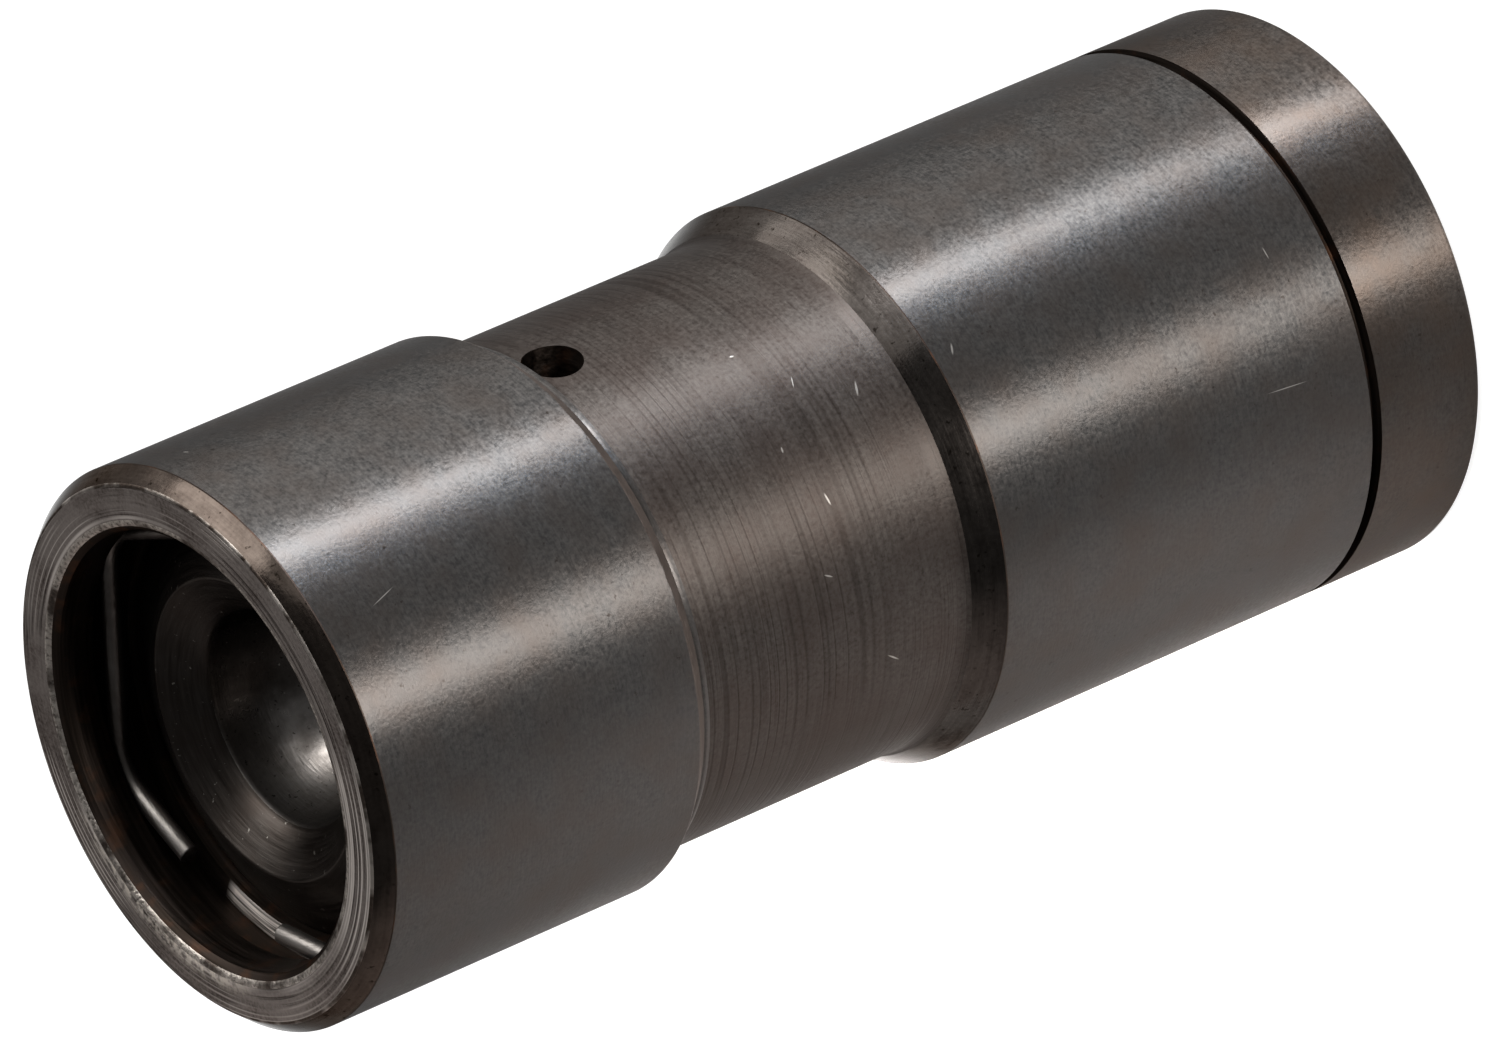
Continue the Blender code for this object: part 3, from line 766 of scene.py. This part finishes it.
def bend_wire(shape, end, centre):
    """Bends the wire's open end round a centre by one bend, and gives the new end."""
    bent = bmesh.ops.spin(shape, geom=end, axis=(0, 0, 1), cent=centre, angle=2 * CLIP_HALF_TURN,
                          steps=BEND_STEPS, use_duplicate=False)["geom_last"]
    return [part for part in bent if isinstance(part, bmesh.types.BMEdge)]


def make_clip():
    """Wire that starts at one end of the gap, goes round by flats and bends, and stops at the other."""
    shape = bmesh.new()
    end_radius = CLIP_FLAT_RADIUS / math.cos(CLIP_END_ANGLE - CLIP_END_NORMAL)
    place = across_gap(end_radius, CLIP_END_ANGLE)
    along = CLIP_GAP_AZIMUTH + CLIP_END_NORMAL
    section = Matrix.Translation(place) @ Matrix.Rotation(along, 4, "Z")
    section = section @ Matrix.Rotation(math.radians(90), 4, "X")
    circle = bmesh.ops.create_circle(shape, cap_ends=False, segments=WIRE_SIDES, radius=WIRE_RADIUS,
                                     matrix=section)
    end = list({edge for vert in circle["verts"] for edge in vert.link_edges})
    for bend in range(CLIP_FLATS - 1):
        middle = CLIP_END_NORMAL + CLIP_HALF_TURN * (2 * bend + 1)
        centre = across_gap(CLIP_BEND_CENTRE, middle)
        spokes = []
        for side in (-1, 1):
            spoke = Vector((CLIP_BEND_RADIUS, 0, 0))
            spoke.rotate(Matrix.Rotation(CLIP_GAP_AZIMUTH + middle + side * CLIP_HALF_TURN, 3, "Z"))
            spokes.append(spoke)
        end = pull_wire(shape, end, centre + spokes[0] - place)
        end = bend_wire(shape, end, centre)
        place = centre + spokes[1]
    pull_wire(shape, end, across_gap(end_radius, -CLIP_END_ANGLE) - place)
    bmesh.ops.remove_doubles(shape, verts=shape.verts, dist=WELD)
    open_ends = [edge for edge in shape.edges if edge.is_boundary]
    bmesh.ops.holes_fill(shape, edges=open_ends, sides=WIRE_SIDES)
    bmesh.ops.recalc_face_normals(shape, faces=shape.faces)
    sheared = [edge for edge in shape.edges if edge.calc_face_angle(0) > END_EDGE_ANGLE]
    bmesh.ops.bevel(shape, geom=sheared, offset=END_ROUNDING, offset_type="OFFSET", segments=3,
                    profile=0.5, affect="EDGES", material=-1, clamp_overlap=True)
    return shape


add_piece("wire_clip", make_clip(), [make_spring_steel()], "body", "retaining_clip")


# Studio: a plain pale floor, soft lamps and a spot on the floor, with the camera far off on a long
# lens and turned on its side, so that the standing lifter lies across the picture. Two small strip
# lamps draw the two bright bands down the ground steel.
AIM = Vector((-0.12, 0.16, 25.74)) * MM
CAMERA_DISTANCE = 646.8 * MM
CAMERA_AZIMUTH = -142.81
CAMERA_ELEVATION = 32.06
CAMERA_ROLL = -113.34
CAMERA_LENS = 430.8
VIEW_START = 0.05
VIEW_END = 20
LAMP_DISTANCE = 0.9
FLOOR_RADIUS = 4
FLOOR_STEPS = 96
FLOOR_GAP = 0.01 * MM
FLOOR_GLOW = 0.85
ROOM_DARK_SIDE = (0.12, 0.12, 0.12, 1)
ROOM_PALE_SIDE = (1.1, 0.97, 0.92, 1)
ROOM_PALE_AZIMUTH = 95
ROOM_PALE_ELEVATION = -35
SPOT_AZIMUTH = 110
SPOT_OFFSET = 0.07
SPOT_HEIGHT = 0.6
SPOT_WATTS = 65
SPOT_ANGLE = math.radians(11.8)
SPOT_BLEND = 0.15
SPOT_SIZE = 0.01


def toward(azimuth, elevation):
    """Unit vector from the lifter towards an azimuth from +X and an elevation, in degrees."""
    level = math.cos(math.radians(elevation))
    return Vector((level * math.cos(math.radians(azimuth)), level * math.sin(math.radians(azimuth)),
                   math.sin(math.radians(elevation))))


def add_camera():
    """Camera on its long lens, aimed at the middle of the lifter and rolled on its side."""
    back = toward(CAMERA_AZIMUTH, CAMERA_ELEVATION)
    camera = bpy.data.objects.new("camera", bpy.data.cameras.new("camera"))
    camera.data.lens = CAMERA_LENS
    camera.data.clip_start = VIEW_START
    camera.data.clip_end = VIEW_END
    level = (-back).to_track_quat("-Z", "Y").to_matrix()
    turned = level @ Matrix.Rotation(math.radians(CAMERA_ROLL), 3, "Z")
    camera.matrix_world = Matrix.Translation(AIM + back * CAMERA_DISTANCE) @ turned.to_4x4()
    bpy.context.collection.objects.link(camera)
    bpy.context.scene.camera = camera


def add_lamp(name, azimuth, elevation, width, height, watts, colour, shape):
    """Soft lamp that faces the lifter, as wide and as tall as given in metres."""
    lamp = bpy.data.objects.new(name, bpy.data.lights.new(name, "AREA"))
    lamp.data.shape = shape
    lamp.data.size = width
    lamp.data.size_y = height
    lamp.data.energy = watts
    lamp.data.color = colour
    back = toward(azimuth, elevation)
    facing = back.to_track_quat("Z", "Y").to_matrix()
    lamp.matrix_world = Matrix.Translation(AIM + back * LAMP_DISTANCE) @ facing.to_4x4()
    bpy.context.collection.objects.link(lamp)


def make_floor_finish():
    """Pale floor that keeps the lifter's shadow, and shows white to the camera and in the steel."""
    material = bpy.data.materials.new("pale_floor")
    material.use_nodes = True
    tree = material.node_tree
    tree.nodes.clear()
    path = node(tree, "ShaderNodeLightPath").outputs
    seen = maths(tree, "MAXIMUM", path["Is Camera Ray"], path["Is Glossy Ray"])
    seen = maths(tree, "MAXIMUM", seen, path["Is Transmission Ray"])
    matte = node(tree, "ShaderNodeBsdfDiffuse", {"Color": (0.4, 0.4, 0.4, 1)})
    glow = node(tree, "ShaderNodeEmission", {"Strength": maths(tree, "MULTIPLY", seen, FLOOR_GLOW)})
    both = node(tree, "ShaderNodeAddShader", {0: matte.outputs[0], 1: glow.outputs[0]})
    node(tree, "ShaderNodeOutputMaterial", {"Surface": both.outputs[0]})
    return material


def add_floor():
    """Round floor a hair below the foot, so that the two faces don't share a plane."""
    shape = bmesh.new()
    bmesh.ops.create_circle(shape, cap_ends=True, segments=FLOOR_STEPS, radius=FLOOR_RADIUS)
    mesh = bpy.data.meshes.new("floor")
    shape.to_mesh(mesh)
    shape.free()
    mesh.transform(Matrix.Translation((0, 0, -FLOOR_GAP)))
    mesh.materials.append(make_floor_finish())
    floor = bpy.data.objects.new("floor", mesh)
    bpy.context.collection.objects.link(floor)


def set_room():
    """Room: soft grey, and paler on the side away from the lamps."""
    world = bpy.data.worlds.new("room")
    world.use_nodes = True
    tree = world.node_tree
    tree.nodes.clear()
    direction = node(tree, "ShaderNodeTexCoord").outputs["Generated"]
    pale_side = node(tree, "ShaderNodeVectorMath", {
        0: direction, 1: toward(ROOM_PALE_AZIMUTH, ROOM_PALE_ELEVATION)}, operation="DOT_PRODUCT")
    near_pale = spread(tree, pale_side.outputs["Value"], 0.2, 1.0)
    shade = tint(tree, near_pale, ROOM_DARK_SIDE, ROOM_PALE_SIDE)
    walls = node(tree, "ShaderNodeBackground", {"Color": shade})
    node(tree, "ShaderNodeOutputWorld", {"Surface": walls.outputs[0]})
    bpy.context.scene.world = world


def add_floor_spot():
    """Spot lamp high up that warms the floor behind the lifter, its narrow cone centred beside the
    lifter.
    """
    spot = bpy.data.objects.new("floor_spot", bpy.data.lights.new("floor_spot", "SPOT"))
    spot.data.energy = SPOT_WATTS
    spot.data.color = (1, 0.9, 0.84)
    spot.data.spot_size = SPOT_ANGLE
    spot.data.spot_blend = SPOT_BLEND
    spot.data.shadow_soft_size = SPOT_SIZE
    place = toward(SPOT_AZIMUTH, 0) * SPOT_OFFSET
    spot.matrix_world = Matrix.Translation(place + Vector((0, 0, SPOT_HEIGHT)))
    bpy.context.collection.objects.link(spot)


add_camera()
add_floor()
set_room()
for lamp_name, azimuth, elevation, width, height, watts, colour, lamp_shape in (
        ("side_strip", -88, 3, 0.085, 0.09, 12.5, (0.97, 0.98, 1), "RECTANGLE"),
        ("cool_edge", -97, 3, 0.08, 0.09, 1.0, (0.4, 0.65, 1), "RECTANGLE"),
        ("front_strip", -150, 3, 0.2, 0.09, 10.6, (1, 0.95, 0.9), "RECTANGLE"),
        ("side_wash", -50, 3, 0.7, 0.09, 0.8, (1, 0.98, 0.95), "RECTANGLE"),
        ("far_wash", -8, 9, 0.7, 0.3, 0.5, (1, 0.98, 0.96), "RECTANGLE"),
        ("key_softbox", -53, 32, 0.76, 0.76, 6.2, (1, 0.98, 0.95), "DISK"),
        ("key_spill", -63, 27, 1.6, 0.66, 3.4, (1, 0.98, 0.95), "RECTANGLE"),
        ("rim_card", 37, 32, 0.4, 0.4, 0.27, (1, 0.96, 0.93), "RECTANGLE")):
    add_lamp(lamp_name, azimuth, elevation, width, height, watts, colour, lamp_shape)
add_floor_spot()
bpy.context.scene.view_settings.view_transform = "Standard"
